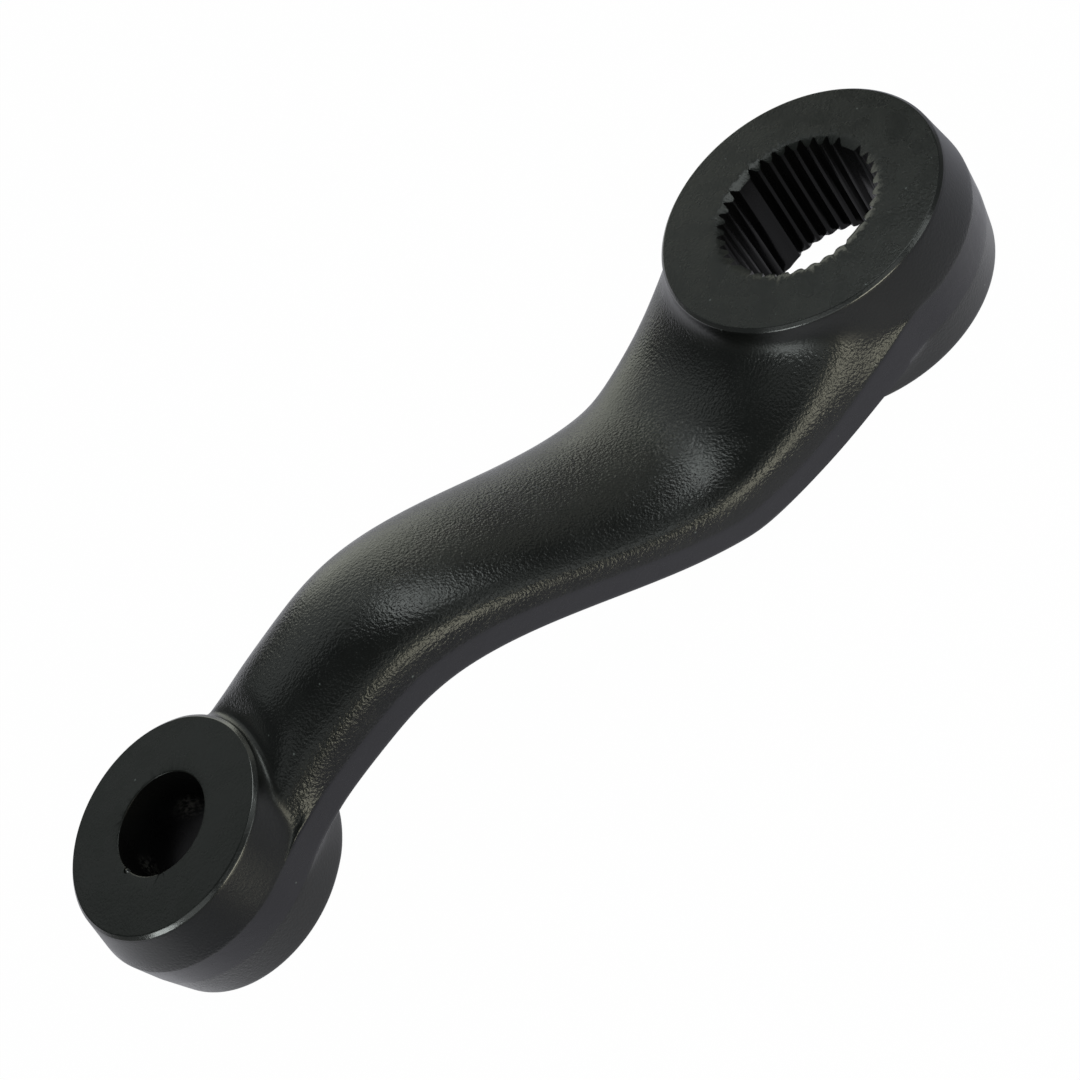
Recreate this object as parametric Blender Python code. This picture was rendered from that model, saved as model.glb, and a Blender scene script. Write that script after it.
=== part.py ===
"""Steering pitman arm, forged in one piece and machined at its two bosses.

The large boss is cut with a serrated bore, with four wide teeth, and clamps on the steering shaft.
The small boss has a tapered bore for a ball stud.
The arm between them dips below the large boss, then climbs to the small one.
A flat band runs all round the forging, where the flash was trimmed off between the two dies.

The origin is the shaft bore's axis at the large boss's machined face, +Z is along both bores,
and the arm runs towards -X.
"""
import math

import bmesh
import bpy

MM = 0.001

# Where the bosses are
CENTRE_DISTANCE = 154.9 * MM
STUD_FACE_RISE = 20.0 * MM

# Shaft boss: its trimmed band, and how far the drafted walls bring in its face and foot
SHAFT_DEPTH = 25.8 * MM
SHAFT_BAND_RADIUS = 29.5 * MM
SHAFT_FACE_SETBACK = 2.0 * MM
SHAFT_FOOT_SETBACK = 1.0 * MM
SHAFT_FACE_CHAMFER = 0.7 * MM
SHAFT_BAND_DROP = 10.3 * MM
SHAFT_BAND_HEIGHT = 7.7 * MM

# Stud boss, measured from its own face; its forging lies a little past the bore
STUD_DEPTH = 23.0 * MM
STUD_BAND_RADIUS = 22.3 * MM
STUD_FACE_SETBACK = 2.2 * MM
STUD_FOOT_SETBACK = 0.7 * MM
STUD_FACE_CHAMFER = 0.6 * MM
STUD_BAND_DROP = 8.7 * MM
STUD_BAND_HEIGHT = 6.2 * MM
STUD_FORGING_OFFSET = 0.7 * MM

FOOT_EDGE = 0.5 * MM

# Arm, with distances from the shaft bore towards the stud and heights of the band's lower edge
DIP_START = 0.5 * MM
DIP_DISTANCE = 42.0 * MM
DIP_HEIGHT = -24.7 * MM
CREST_DISTANCE = 112.0 * MM
CREST_HEIGHT = 7.3 * MM
ARM_BAND_HEIGHT = 7.2 * MM
ROOT_TAPER = math.radians(7.7)
WAIST_HALF_WIDTH = 15.4 * MM
WAIST_DISTANCE = 130.0 * MM
NECK_HALF_WIDTH = 17.4 * MM
NECK_DISTANCE = CENTRE_DISTANCE - 11.0 * MM

# Arm section: how far the top and the underside stand off the band
CROWN_HEIGHT = 7.2 * MM
SHAFT_SHOULDER_HEIGHT = 5.8 * MM
STUD_SHOULDER_HEIGHT = 5.6 * MM
BELLY_DEPTH = 3.2 * MM
HEEL_DEPTH = 3.0 * MM
CROWN_FULLNESS = 2.25
SHOULDER_FULLNESS = 2.2
BELLY_FULLNESS = 1.8
CORNER_ANGLE = math.radians(72)

# Serrated bore
SERRATION_PITCHES = 36
WIDE_TEETH = 4
GROOVE_RADIUS = 15.875 * MM
FLANK_RADIUS = 14.85 * MM
TOOTH_RADIUS = 14.5 * MM
MOUTH_RADIUS = 15.3 * MM
MOUTH_DEPTH = 0.8 * MM
FOOT_MOUTH_RADIUS = 16.5 * MM
FOOT_MOUTH_DEPTH = 1.4 * MM

# Tapered bore, larger at the face
STUD_BORE_RADIUS = 9.3 * MM
STUD_BORE_TAPER = 1 / 8
STUD_BORE_SEGMENTS = 64

# Lattice of the forging
RING_COLUMNS = 32
ARM_COLUMNS = 12
ARM_STATIONS = 12
SHAFT_ARM_ANGLE = math.radians(67.5)
STUD_ARM_ANGLE = math.radians(48)
ROOT_LENGTH = 16.0 * MM
NECK_LENGTH = 6.0 * MM
FILLET_SHARES = (0.2, 0.55)
BAND_CREASE = 0.9
CUT_MARGIN = 2.0 * MM


def clear_scene():
    for item in list(bpy.data.objects):
        bpy.data.objects.remove(item, do_unlink=True)


def smooth_step(value, start, end):
    """0 before start, 1 after end, and level at both."""
    t = min(max((value - start) / (end - start), 0.0), 1.0)
    return t * t * (3 - 2 * t)


def mix(a, b, share):
    return a + (b - a) * share


def halfway(a, b):
    return tuple(mix(p, q, 0.5) for p, q in zip(a, b))


def outward(before, point, after):
    """Control point whose smoothed curve passes through the middle point."""
    return tuple(p - (a - 2 * p + b) / 6 for a, p, b in zip(before, point, after))


def band_foot(distance):
    """Height of the band's lower edge along the arm."""
    shaft = -SHAFT_BAND_DROP - SHAFT_BAND_HEIGHT
    stud = STUD_FACE_RISE - STUD_BAND_DROP - STUD_BAND_HEIGHT
    if distance < DIP_DISTANCE:
        return mix(shaft, DIP_HEIGHT, smooth_step(distance, DIP_START, DIP_DISTANCE))
    if distance < CREST_DISTANCE:
        return mix(DIP_HEIGHT, CREST_HEIGHT, smooth_step(distance, DIP_DISTANCE, CREST_DISTANCE))
    return mix(CREST_HEIGHT, stud, smooth_step(distance, CREST_DISTANCE, NECK_DISTANCE))


def band_height(distance):
    """Height of the band itself, which changes slightly towards each boss."""
    near_shaft = 1 - smooth_step(distance, 0.0, DIP_DISTANCE)
    near_stud = smooth_step(distance, CREST_DISTANCE, CENTRE_DISTANCE)
    height = mix(ARM_BAND_HEIGHT, SHAFT_BAND_HEIGHT, near_shaft)
    return mix(height, STUD_BAND_HEIGHT, near_stud)


def half_width(distance):
    """Half of the arm's width at the band: its sides leave the shaft boss's band on a tangent."""
    start = SHAFT_BAND_RADIUS * math.sin(ROOT_TAPER)
    root = SHAFT_BAND_RADIUS * math.cos(ROOT_TAPER)
    if distance < WAIST_DISTANCE:
        length = WAIST_DISTANCE - start
        t = (distance - start) / length
        narrowing = length * math.tan(ROOT_TAPER) * t * (1 - t) ** 2
        return mix(root, WAIST_HALF_WIDTH, t * t * (3 - 2 * t)) - narrowing
    flare = smooth_step(distance, WAIST_DISTANCE, NECK_DISTANCE)
    return mix(WAIST_HALF_WIDTH, NECK_HALF_WIDTH, flare)


def rounded(share, fullness):
    """Point on a quarter of a superellipse, from its top (share 0) towards its side (share 1)."""
    angle = abs(share) * CORNER_ANGLE
    across = math.sin(angle) ** (2 / fullness)
    up = math.cos(angle) ** (2 / fullness)
    return math.copysign(across, share), up


class Boss:
    """One boss's rings, each a closed row of points round its axis."""

    def __init__(self, centre, face, side, arm_angle, sizes):
        self.centre = centre
        self.face = face
        self.side = side
        self.arm_angle = arm_angle
        self.sizes = sizes
        self.forged_centre = centre + side * sizes["offset"]

    def columns(self):
        """Angles from the arm's direction: the columns that meet the arm, then the rest."""
        half = ARM_COLUMNS // 2
        meeting = [self.arm_angle * i / half for i in range(-half, half + 1)]
        rest = RING_COLUMNS - ARM_COLUMNS
        span = 2 * (math.pi - self.arm_angle)
        return meeting + [self.arm_angle + span * i / rest for i in range(1, rest)]

    def point(self, centre, radius, angle, height):
        along = centre - self.side * radius * math.cos(angle)
        return (-along, radius * math.sin(angle), height)

    def rise(self, angle, height, fullness):
        """How far the arm's top or underside stands off the band where it meets this boss."""
        turned = (angle + math.pi) % (2 * math.pi) - math.pi
        share = max(-1.0, min(1.0, turned / self.arm_angle))
        return height * rounded(share, fullness)[1]

    def rows(self):
        """Rings from the machined face down to the foot."""
        size = self.sizes
        top = self.face - size["band_drop"]
        bottom = top - size["band_height"]
        foot = self.face - size["depth"]
        angles = self.columns()

        def ring(centre, radius, height):
            return [self.point(centre, radius, angle, height) for angle in angles]

        def band(height):
            points = ring(self.forged_centre, size["band_radius"], height)
            for corner in (0, ARM_COLUMNS):
                x, y, z = points[corner]
                side = math.copysign(max(abs(y), half_width(-x)), y)
                points[corner] = (x, side, z + band_foot(-x) - bottom)
            return points

        shoulder = []
        heel = []
        for angle in angles:
            lift = self.rise(angle, size["shoulder"], SHOULDER_FULLNESS)
            share = lift / size["band_drop"]
            radius = mix(size["band_radius"], size["face_radius"], share)
            centre = mix(self.forged_centre, self.centre, share)
            shoulder.append(self.point(centre, radius, angle, top + lift))
            drop = self.rise(angle, HEEL_DEPTH, BELLY_FULLNESS)
            share = drop / (bottom - foot)
            radius = mix(size["band_radius"], size["foot_radius"], share)
            heel.append(self.point(self.forged_centre, radius, angle, bottom - drop))
        chamfer = ring(self.centre, size["face_radius"], self.face - size["chamfer"])
        return {
            "face": ring(self.centre, size["face_radius"] - size["chamfer"], self.face),
            "chamfer": chamfer,
            "wall": [halfway(a, b) for a, b in zip(chamfer, shoulder)],
            "shoulder": shoulder,
            "band_top": band(top),
            "band_bottom": band(bottom),
            "heel": heel,
            "foot_wall": ring(self.forged_centre, size["foot_radius"], foot + FOOT_EDGE),
            "foot": ring(self.forged_centre, size["foot_radius"] - FOOT_EDGE, foot),
        }


ROWS = ("face", "chamfer", "wall", "shoulder", "band_top", "band_bottom", "heel", "foot_wall", "foot")
SHARP_ROWS = {"face": 1.0, "chamfer": 1.0, "foot_wall": 1.0, "foot": 1.0,
              "band_top": BAND_CREASE, "band_bottom": BAND_CREASE}


def section(distance, crown, belly, fullness):
    """One loop of points round the arm: over the top, down one side, under, and up the other."""
    half = ARM_COLUMNS // 2
    width = half_width(distance)
    low = band_foot(distance)
    high = low + band_height(distance)
    over = []
    under = []
    for i in range(-half, half + 1):
        across, up = rounded(i / half, fullness)
        over.append((-distance, width * across, high + crown * up))
        across, up = rounded(i / half, BELLY_FULLNESS)
        under.append((-distance, width * across, low - belly * up))
    far_side = [(-distance, width, high), (-distance, width, low)]
    near_side = [(-distance, -width, low), (-distance, -width, high)]
    return over + far_side + under[::-1] + near_side


def straight_section(distance):
    return section(distance, CROWN_HEIGHT, BELLY_DEPTH, CROWN_FULLNESS)


def curved_section(opening, distance, share, shoulder):
    """A loop that lies between a boss's opening and the straight section at a distance."""
    crown = mix(shoulder, CROWN_HEIGHT, share)
    belly = mix(HEEL_DEPTH, BELLY_DEPTH, share)
    fullness = mix(SHOULDER_FULLNESS, CROWN_FULLNESS, share)
    loop = []
    for i, point in enumerate(opening):
        here = mix(-point[0], distance, share)
        loop.append(section(here, crown, belly, fullness)[i])
    return loop


def forging_mesh():
    """The forging as a coarse lattice, to be smoothed by subdivision."""
    shaft = Boss(0.0, 0.0, -1, SHAFT_ARM_ANGLE, {
        "depth": SHAFT_DEPTH, "face_radius": SHAFT_BAND_RADIUS - SHAFT_FACE_SETBACK,
        "chamfer": SHAFT_FACE_CHAMFER, "band_radius": SHAFT_BAND_RADIUS,
        "band_drop": SHAFT_BAND_DROP, "band_height": SHAFT_BAND_HEIGHT,
        "foot_radius": SHAFT_BAND_RADIUS - SHAFT_FOOT_SETBACK,
        "shoulder": SHAFT_SHOULDER_HEIGHT, "offset": 0.0})
    stud = Boss(CENTRE_DISTANCE, STUD_FACE_RISE, 1, STUD_ARM_ANGLE, {
        "depth": STUD_DEPTH, "face_radius": STUD_BAND_RADIUS - STUD_FACE_SETBACK,
        "chamfer": STUD_FACE_CHAMFER, "band_radius": STUD_BAND_RADIUS,
        "band_drop": STUD_BAND_DROP, "band_height": STUD_BAND_HEIGHT,
        "foot_radius": STUD_BAND_RADIUS - STUD_FOOT_SETBACK,
        "shoulder": STUD_SHOULDER_HEIGHT, "offset": STUD_FORGING_OFFSET})
    bm = bmesh.new()
    sharp = bm.edges.layers.float.new("crease_edge")
    rings = []
    for boss in (shaft, stud):
        rings.append(boss_rings(bm, boss, sharp))
    join_arm(bm, rings[0], rings[1], sharp)
    bmesh.ops.recalc_face_normals(bm, faces=bm.faces)
    mesh = bpy.data.meshes.new("pitman_arm")
    bm.to_mesh(mesh)
    bm.free()
    return mesh


def boss_rings(bm, boss, sharp):
    """Vertices and faces of one boss, open where the arm leaves it."""
    half = ARM_COLUMNS
    rings = {}
    for name, points in boss.rows().items():
        count = len(points)
        row = []
        for i, point in enumerate(points):
            inside_arm = name.startswith("band") and 0 < i < half
            if inside_arm:
                row.append(None)
                continue
            shaped = outward(points[i - 1], point, points[(i + 1) % count])
            row.append(bm.verts.new(shaped))
        rings[name] = row
    for upper, lower in zip(ROWS, ROWS[1:]):
        for i in range(RING_COLUMNS):
            j = (i + 1) % RING_COLUMNS
            corners = (rings[upper][i], rings[upper][j], rings[lower][j], rings[lower][i])
            if None not in corners:
                bm.faces.new(corners)
    bm.faces.new(rings["face"])
    bm.faces.new(rings["foot"])
    for name, weight in SHARP_ROWS.items():
        row = rings[name]
        for a, b in zip(row, row[1:] + row[:1]):
            edge = bm.edges.get((a, b)) if a and b else None
            if edge:
                edge[sharp] = weight
    return rings


def patch_loop(rings):
    """The boundary that the arm leaves a boss through, in the order of a section's points."""
    last = ARM_COLUMNS
    over = rings["shoulder"][:last + 1]
    under = rings["heel"][:last + 1]
    far_side = [rings["band_top"][last], rings["band_bottom"][last]]
    near_side = [rings["band_bottom"][0], rings["band_top"][0]]
    return over + far_side + under[::-1] + near_side


def join_arm(bm, shaft, stud, sharp):
    """Sections of the arm, joined to each other and to the openings in both bosses."""
    start = SHAFT_BAND_RADIUS + ROOT_LENGTH
    end = CENTRE_DISTANCE - STUD_BAND_RADIUS - NECK_LENGTH
    first = patch_loop(shaft)
    last = patch_loop(stud)
    shaft_opening = [tuple(v.co) for v in first]
    stud_opening = [tuple(v.co) for v in last]
    targets = [shaft_opening]
    for share in FILLET_SHARES:
        targets.append(curved_section(shaft_opening, start, share, SHAFT_SHOULDER_HEIGHT))
    for i in range(ARM_STATIONS):
        targets.append(straight_section(mix(start, end, i / (ARM_STATIONS - 1))))
    for share in reversed(FILLET_SHARES):
        targets.append(curved_section(stud_opening, end, share, STUD_SHOULDER_HEIGHT))
    targets.append(stud_opening)
    loops = [first]
    for before, here, after in zip(targets, targets[1:], targets[2:]):
        loops.append([bm.verts.new(outward(*trio)) for trio in zip(before, here, after)])
    loops.append(last)
    count = len(last)
    side = (ARM_COLUMNS + 1, ARM_COLUMNS + 2, count - 2, count - 1)
    for near, far in zip(loops, loops[1:]):
        for i in range(count):
            j = (i + 1) % count
            bm.faces.new((near[i], near[j], far[j], far[i]))
        for i in side:
            bm.edges.get((near[i], far[i]))[sharp] = BAND_CREASE


def loft(name, loops):
    """A closed cutter through loops of points, hidden from view."""
    bm = bmesh.new()
    rows = [[bm.verts.new(point) for point in loop] for loop in loops]
    count = len(rows[0])
    for lower, upper in zip(rows, rows[1:]):
        for i in range(count):
            j = (i + 1) % count
            bm.faces.new((lower[i], lower[j], upper[j], upper[i]))
    bm.faces.new(rows[0][::-1])
    bm.faces.new(rows[-1])
    bmesh.ops.recalc_face_normals(bm, faces=bm.faces)
    mesh = bpy.data.meshes.new(name)
    bm.to_mesh(mesh)
    bm.free()
    cutter = bpy.data.objects.new(name, mesh)
    bpy.context.collection.objects.link(cutter)
    cutter.hide_render = True
    cutter.display_type = "WIRE"
    return cutter


def serration_radii():
    """Radii round the serrated bore, four to a pitch: groove, flank, tooth, flank."""
    spacing = SERRATION_PITCHES // WIDE_TEETH
    grooved = [pitch % spacing != 0 for pitch in range(SERRATION_PITCHES)]
    radii = []
    for pitch in range(SERRATION_PITCHES):
        here = grooved[pitch]
        after = grooved[(pitch + 1) % SERRATION_PITCHES]
        radii.append(GROOVE_RADIUS if here else TOOTH_RADIUS)
        radii.append(FLANK_RADIUS if here else TOOTH_RADIUS)
        radii.append(TOOTH_RADIUS)
        radii.append(FLANK_RADIUS if after else TOOTH_RADIUS)
    return radii


def shaft_bore_cutter():
    radii = serration_radii()
    step = 2 * math.pi / len(radii)

    def loop(height, least):
        points = []
        for i, radius in enumerate(radii):
            reach = max(radius, least)
            points.append((reach * math.cos(i * step), reach * math.sin(i * step), height))
        return points

    foot = -SHAFT_DEPTH
    return loft("shaft_bore_cutter", [
        loop(foot - CUT_MARGIN, FOOT_MOUTH_RADIUS),
        loop(foot, FOOT_MOUTH_RADIUS),
        loop(foot + FOOT_MOUTH_DEPTH, TOOTH_RADIUS),
        loop(-MOUTH_DEPTH, TOOTH_RADIUS),
        loop(0.0, MOUTH_RADIUS),
        loop(CUT_MARGIN, MOUTH_RADIUS)])


def stud_bore_cutter():
    def loop(height):
        radius = STUD_BORE_RADIUS + (height - STUD_FACE_RISE) * STUD_BORE_TAPER / 2
        points = []
        for i in range(STUD_BORE_SEGMENTS):
            angle = 2 * math.pi * i / STUD_BORE_SEGMENTS
            points.append((radius * math.cos(angle) - CENTRE_DISTANCE, radius * math.sin(angle), height))
        return points

    foot = STUD_FACE_RISE - STUD_DEPTH
    return loft("stud_bore_cutter", [loop(foot - CUT_MARGIN), loop(STUD_FACE_RISE + CUT_MARGIN)])


def black_coating():
    material = bpy.data.materials.new("satin_black_coating")
    material.use_nodes = True
    shader = material.node_tree.nodes["Principled BSDF"]
    shader.inputs["Base Color"].default_value = (0.018, 0.02, 0.02, 1)
    shader.inputs["Roughness"].default_value = 0.4
    shader.inputs["Metallic"].default_value = 0.0
    return material


def pitman_arm():
    """The forging, smoothed, with both bores cut."""
    mesh = forging_mesh()
    arm = bpy.data.objects.new("pitman_arm", mesh)
    bpy.context.collection.objects.link(arm)
    mesh.materials.append(black_coating())
    smooth = arm.modifiers.new("smooth_forging", "SUBSURF")
    smooth.levels = 1
    smooth.render_levels = 1
    for cutter in (shaft_bore_cutter(), stud_bore_cutter()):
        cut = arm.modifiers.new(cutter.name, "BOOLEAN")
        cut.operation = "DIFFERENCE"
        cut.solver = "EXACT"
        cut.object = cutter
    mesh.shade_smooth()
    mesh.set_sharp_from_angle(angle=math.radians(35))
    return arm


def main():
    clear_scene()
    pitman_arm()


main()
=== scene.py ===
"""Steering pitman arm: a black-coated forging with a serrated and a tapered bore, on a pale stage."""

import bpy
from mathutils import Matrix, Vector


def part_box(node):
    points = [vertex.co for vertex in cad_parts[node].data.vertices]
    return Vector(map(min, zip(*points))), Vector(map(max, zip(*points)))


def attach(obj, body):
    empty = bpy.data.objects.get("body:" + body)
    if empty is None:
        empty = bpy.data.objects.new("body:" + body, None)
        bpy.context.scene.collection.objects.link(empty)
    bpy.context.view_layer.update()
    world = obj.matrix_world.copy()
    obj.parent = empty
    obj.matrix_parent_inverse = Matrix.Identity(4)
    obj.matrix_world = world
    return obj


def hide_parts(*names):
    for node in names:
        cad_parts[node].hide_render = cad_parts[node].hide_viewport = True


bl_info = {
    "name": "Pitman Arm",
    "version": (1, 0, 0),
    "blender": (4, 5, 0),
    "location": "3D View > Sidebar > Pitman Arm",
    "description": "Builds a forged steering pitman arm and the stage it is seen on",
    "category": "Add Mesh",
}

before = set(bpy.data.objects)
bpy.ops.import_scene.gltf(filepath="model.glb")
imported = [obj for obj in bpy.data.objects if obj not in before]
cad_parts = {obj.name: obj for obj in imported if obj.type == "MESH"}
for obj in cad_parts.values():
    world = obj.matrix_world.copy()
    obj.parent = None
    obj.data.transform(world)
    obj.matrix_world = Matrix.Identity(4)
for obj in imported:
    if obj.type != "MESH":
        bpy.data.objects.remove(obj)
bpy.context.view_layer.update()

import math

import bpy
from bpy.props import FloatProperty, FloatVectorProperty, IntProperty, PointerProperty
from bpy.types import Operator, Panel, PropertyGroup
from mathutils import Matrix, Vector

MM = 0.001
TINY = 0.01 * MM
CAD_LOW, CAD_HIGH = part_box("pitman_arm")

# The camera: where it stands, where it looks, and which way is up in the picture
VIEW_PLACE = Vector((-0.0913, -0.2082, 0.2109))
VIEW_DIRECTION = Vector((0.0500, 0.6918, -0.7200))
VIEW_UP = Vector((0.7611, 0.4401, 0.4760))
VIEW_LENS_MM = 55.14
VIEW_SENSOR_MM = 36

# Columns and stations of the forging's lattice, which both bosses and the arm share
RING_COLUMNS = 32
ARM_COLUMNS = 12
ARM_STATIONS = 12
SHAFT_ARM_ANGLE = math.radians(67.5)
STUD_ARM_ANGLE = math.radians(48)
CORNER_ANGLE = math.radians(72)
HALF_ROW = 0.5
# The arm's plain sections start and end this far off the bosses, with fillet loops on the way there
SHAFT_FILLET_ROOM = 16 * MM
STUD_FILLET_ROOM = 6 * MM
FILLET_SHARES = (0.2, 0.55)

# How sharp the lattice's edges stay when it is smoothed, how often it is smoothed and how it is shaded
BAND_CREASE = 0.85
CHAMFER_CREASE = 0.6
FOOT_CREASE = 0.7
SMOOTHING = 3
SHADE_ANGLE = math.radians(32)

# The finishes of the forging's own faces, in the order of their material slots
FINISHES = ("forged_skin", "trimmed_band", "machined_face", "broken_edge")
SKIN, TRIM, MACHINED, EDGE = range(4)

# Cutters: how round they are, how far they stand out of the metal, and the serrations' section,
# which is how deep a groove is at each step from its middle
GROOVE_STEPS = 8
GROOVE_PROFILE = {0: 1.0, 1: 0.72, 2: 0.28, 3: 0.03}
BAR_MARGIN = 2 * MM
MOUTH_SIDES = 144
MOUTH_MARGIN = 1 * MM
MOUTH_INSET = 0.2 * MM
TAPER_SIDES = 128
TAPER_MARGIN = 2 * MM
RIM_SEGMENTS = 3
RIM_TOLERANCE = 5 * TINY
NICK_PLACE = Vector((-0.1642, -0.0012, 0.0199))
NICK_RADIUS = 0.75 * MM

# The coating's grain, mottle and specks. A scale is in patterns per metre, a speck's reach and core
# are shares of its cell, and the usual shine is the shader's own specular level
SKIN_BUMP = 0.1 * MM
MOTTLE_SCALE = 160.0
MOTTLE_LOW = 0.3
MOTTLE_HIGH = 0.7
SPECK_SCALE = 260.0
SPECK_REACH = 0.07
SPECK_CORE = 0.03
SPECKS_LEFT_OUT = 0.72
SPECK_COLOUR = (0.09, 0.10, 0.10, 1.0)
DARKEST = 0.7
LIGHTEST = 1.3
ROUGHNESS_SPREAD = 0.05
USUAL_SHINE = 0.5

# The bosses' walls are smoother than the arm: how far past each boss, how gradually, how much is left
WALL_MARGIN = -0.6 * MM
WALL_FADE = 1.2 * MM
WALL_BUMP_SHARE = 0.3

# Worn spots in the small bore: where each lies, how far it reaches, how strong it is
BORE_WEAR = (
    (Vector((-0.1523, 0.0083, 0.0095)), 4.0 * MM, 0.6),
    (Vector((-0.1634, 0.0025, 0.0130)), 3.5 * MM, 0.2),
)
PATCH_SCALE = 1300.0
PATCH_START = 0.42
PATCH_FULL = 0.62
BARE_COLOUR = (0.16, 0.15, 0.14, 1.0)

# The sheet on the floor: the share that is plain white to the camera, the share that reflections show,
# where it fades out into painted shade towards the front and the right, and its colours in reflections,
# the painted shade (dim) and the pale one
WHITE = (1, 1, 1, 1)
MATT_WHITE = (0.82, 0.82, 0.82, 1)
WHITE_SHARE = 0.99
MIRRORED_SHARE = 0.8
SHEET_FRONT = (-0.09, -0.06)
SHEET_RIGHT = (0.05, 0.02)
SHEET_RIGHT_LEAST = 0.25
# Painted shade: the dim colour that reflections show of the sheet in front of and to the right of the arm
SHEET_PAINTED_SHADE = (0.36, 0.36, 0.42, 1)
SHEET_PALE = (0.75, 0.75, 0.80, 1)

# The room: its light at the horizon, its light higher up, and the height where that is reached
ROOM_HORIZON = (0.18, 0.19, 0.18, 1)
ROOM_HIGH = (0.11, 0.12, 0.12, 1)
ROOM_FADE = 0.5


def length(label, description, default):
    """A size in metres, shown in the scene's own units."""
    return FloatProperty(name=label, description=description, default=default,
                         subtype="DISTANCE", unit="LENGTH", precision=5)


def share(label, description, default, most=1.0):
    return FloatProperty(name=label, description=description, default=default, min=0.0, max=most)


def colour(label, description, default):
    return FloatVectorProperty(name=label, description=description, default=default,
                               subtype="COLOR", size=3, min=0.0, max=1.0)


class ForgingSizes(PropertyGroup):
    """Sizes of the forging, measured from the serrated bore's axis at the large boss's face."""

    centre_distance: length("Centre distance", "Between the two bores' axes", 154.9 * MM)
    stud_face_rise: length("Stud face rise", "Height of the small boss's face over the large one's",
                           20 * MM)
    shaft_radius: length("Shaft boss radius", "Radius of the large boss at its band", 29.5 * MM)
    shaft_depth: length("Shaft boss depth", "From the large boss's face to its foot", 25.8 * MM)
    shaft_band_drop: length("Shaft band drop", "From the large boss's face to its band", 10.3 * MM)
    shaft_band_height: length("Shaft band height", "Height of the band on the large boss", 7.7 * MM)
    stud_radius: length("Stud boss radius", "Radius of the small boss at its band", 22.3 * MM)
    stud_depth: length("Stud boss depth", "From the small boss's face to its foot", 23 * MM)
    stud_band_drop: length("Stud band drop", "From the small boss's face to its band", 8.7 * MM)
    stud_band_height: length("Stud band height", "Height of the band on the small boss", 6.2 * MM)
    stud_offset: length("Stud forging offset", "How far the small boss's forging lies past its bore",
                        0.7 * MM)
    arm_band_height: length("Arm band height", "Height of the band along the arm", 5.2 * MM)
    band_swell: length("Band swell", "How much higher the band is halfway along the arm", 0.8 * MM)
    dip_distance: length("Dip distance", "From the shaft bore to the arm's lowest point", 42 * MM)
    dip_height: length("Dip height", "Height of the band's lower edge at the dip", -24.95 * MM)
    crest_distance: length("Crest distance", "From the shaft bore to the arm's highest point", 112 * MM)
    crest_height: length("Crest height", "Height of the band's lower edge at the crest", 6.95 * MM)
    waist_distance: length("Waist distance", "From the shaft bore to the arm's narrowest point", 130 * MM)
    waist_half_width: length("Waist half width", "Half of the arm's width at the waist", 15.6 * MM)
    neck_half_width: length("Neck half width", "Half of the arm's width where it meets the small boss",
                            17.7 * MM)
    body_height: length("Body height", "From the band's lower edge to the arm's top", 15.6 * MM)
    root_drop: length("Root drop", "How much lower the arm's top is at the large boss", 0.8 * MM)
    neck_rise: length("Neck rise", "How much higher the arm's top is at the small boss", 0.5 * MM)
    body_swell: length("Body swell", "How much higher the arm's top is halfway", 0.4 * MM)
    belly_depth: length("Belly depth", "How far the arm's underside hangs below the band", 3.2 * MM)


class BoreSizes(PropertyGroup):
    """Sizes of the two bores and of the machined edges."""

    groove_radius: length("Groove radius", "Radius at the bottom of the serrations", 15.875 * MM)
    tooth_radius: length("Tooth radius", "Radius at the top of the serrations", 14.5 * MM)
    serrations: IntProperty(name="Serrations", description="Pitches round the shaft bore",
                            default=36, min=8)
    wide_teeth: IntProperty(name="Wide teeth", description="Pitches left uncut", default=4, min=1)
    mouth_depth: length("Mouth depth", "Depth of the chamfer at the serrations' ends", 0.9 * MM)
    foot_mouth_depth: length("Foot mouth depth", "Depth of the chamfer at the foot's end", 0.9 * MM)
    stud_bore_radius: length("Stud bore radius", "Radius of the tapered bore at the face", 9.3 * MM)
    stud_bore_taper: share("Stud bore taper", "Taper on the tapered bore's diameter", 1 / 8)
    face_chamfer: length("Face chamfer", "Chamfer round both machined faces", 0.65 * MM)
    rim_bevel: length("Rim bevel", "Broken edge of the tapered bore", 0.25 * MM)


class CoatingLook(PropertyGroup):
    """Colours, shine and roughness of the black coating on each kind of surface, with the band's tone
    partly a painted reflection and the bores' darkness partly painted shade.
    """

    skin_colour: colour("Forged skin", "Coating on the forged skin", (0.004, 0.0045, 0.004))
    # The band's lighter, purple tone is partly its own and partly a painted reflection of the pale floor
    trim_tone_and_painted_reflection: colour("Trimmed band", "Coating on the trimmed band", (0.006, 0.0055, 0.0095))
    machined_colour: colour("Machined faces", "Coating on the machined faces", (0.004, 0.005, 0.004))
    # Bores: dark steel, made darker and duller still as painted shade, standing in for the shadowed floor
    # under them
    bore_colour_and_painted_shade: colour("Bores", "Bare dark steel in the bores", (0.0035, 0.0035, 0.0035))
    bore_shine: share("Bore shine", "How much of the usual shine the bores' walls keep", 0.3)
    skin_roughness: share("Skin roughness", "Roughness of the forged skin", 0.24)
    face_shine: share("Face shine", "How much of the usual shine the machined faces keep", 0.7)
    edge_shine: share("Edge shine", "How much more than usual the broken edges shine", 2.0, 2.0)
    edge_roughness: share("Edge roughness", "Roughness of the broken edges", 0.2)
    wall_roughness: share("Wall roughness", "Roughness of the bosses' walls", 0.32)
    smooth_roughness: share("Smooth roughness", "Roughness of the band and the faces", 0.27)


def clear_selection():
    """Leaves edit mode and deselects everything."""
    if bpy.context.object and bpy.context.object.mode != "OBJECT":
        bpy.ops.object.mode_set(mode="OBJECT")
    bpy.ops.object.select_all(action="DESELECT")


def pick_only(piece):
    clear_selection()
    bpy.context.view_layer.objects.active = piece
    piece.select_set(True)


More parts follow.
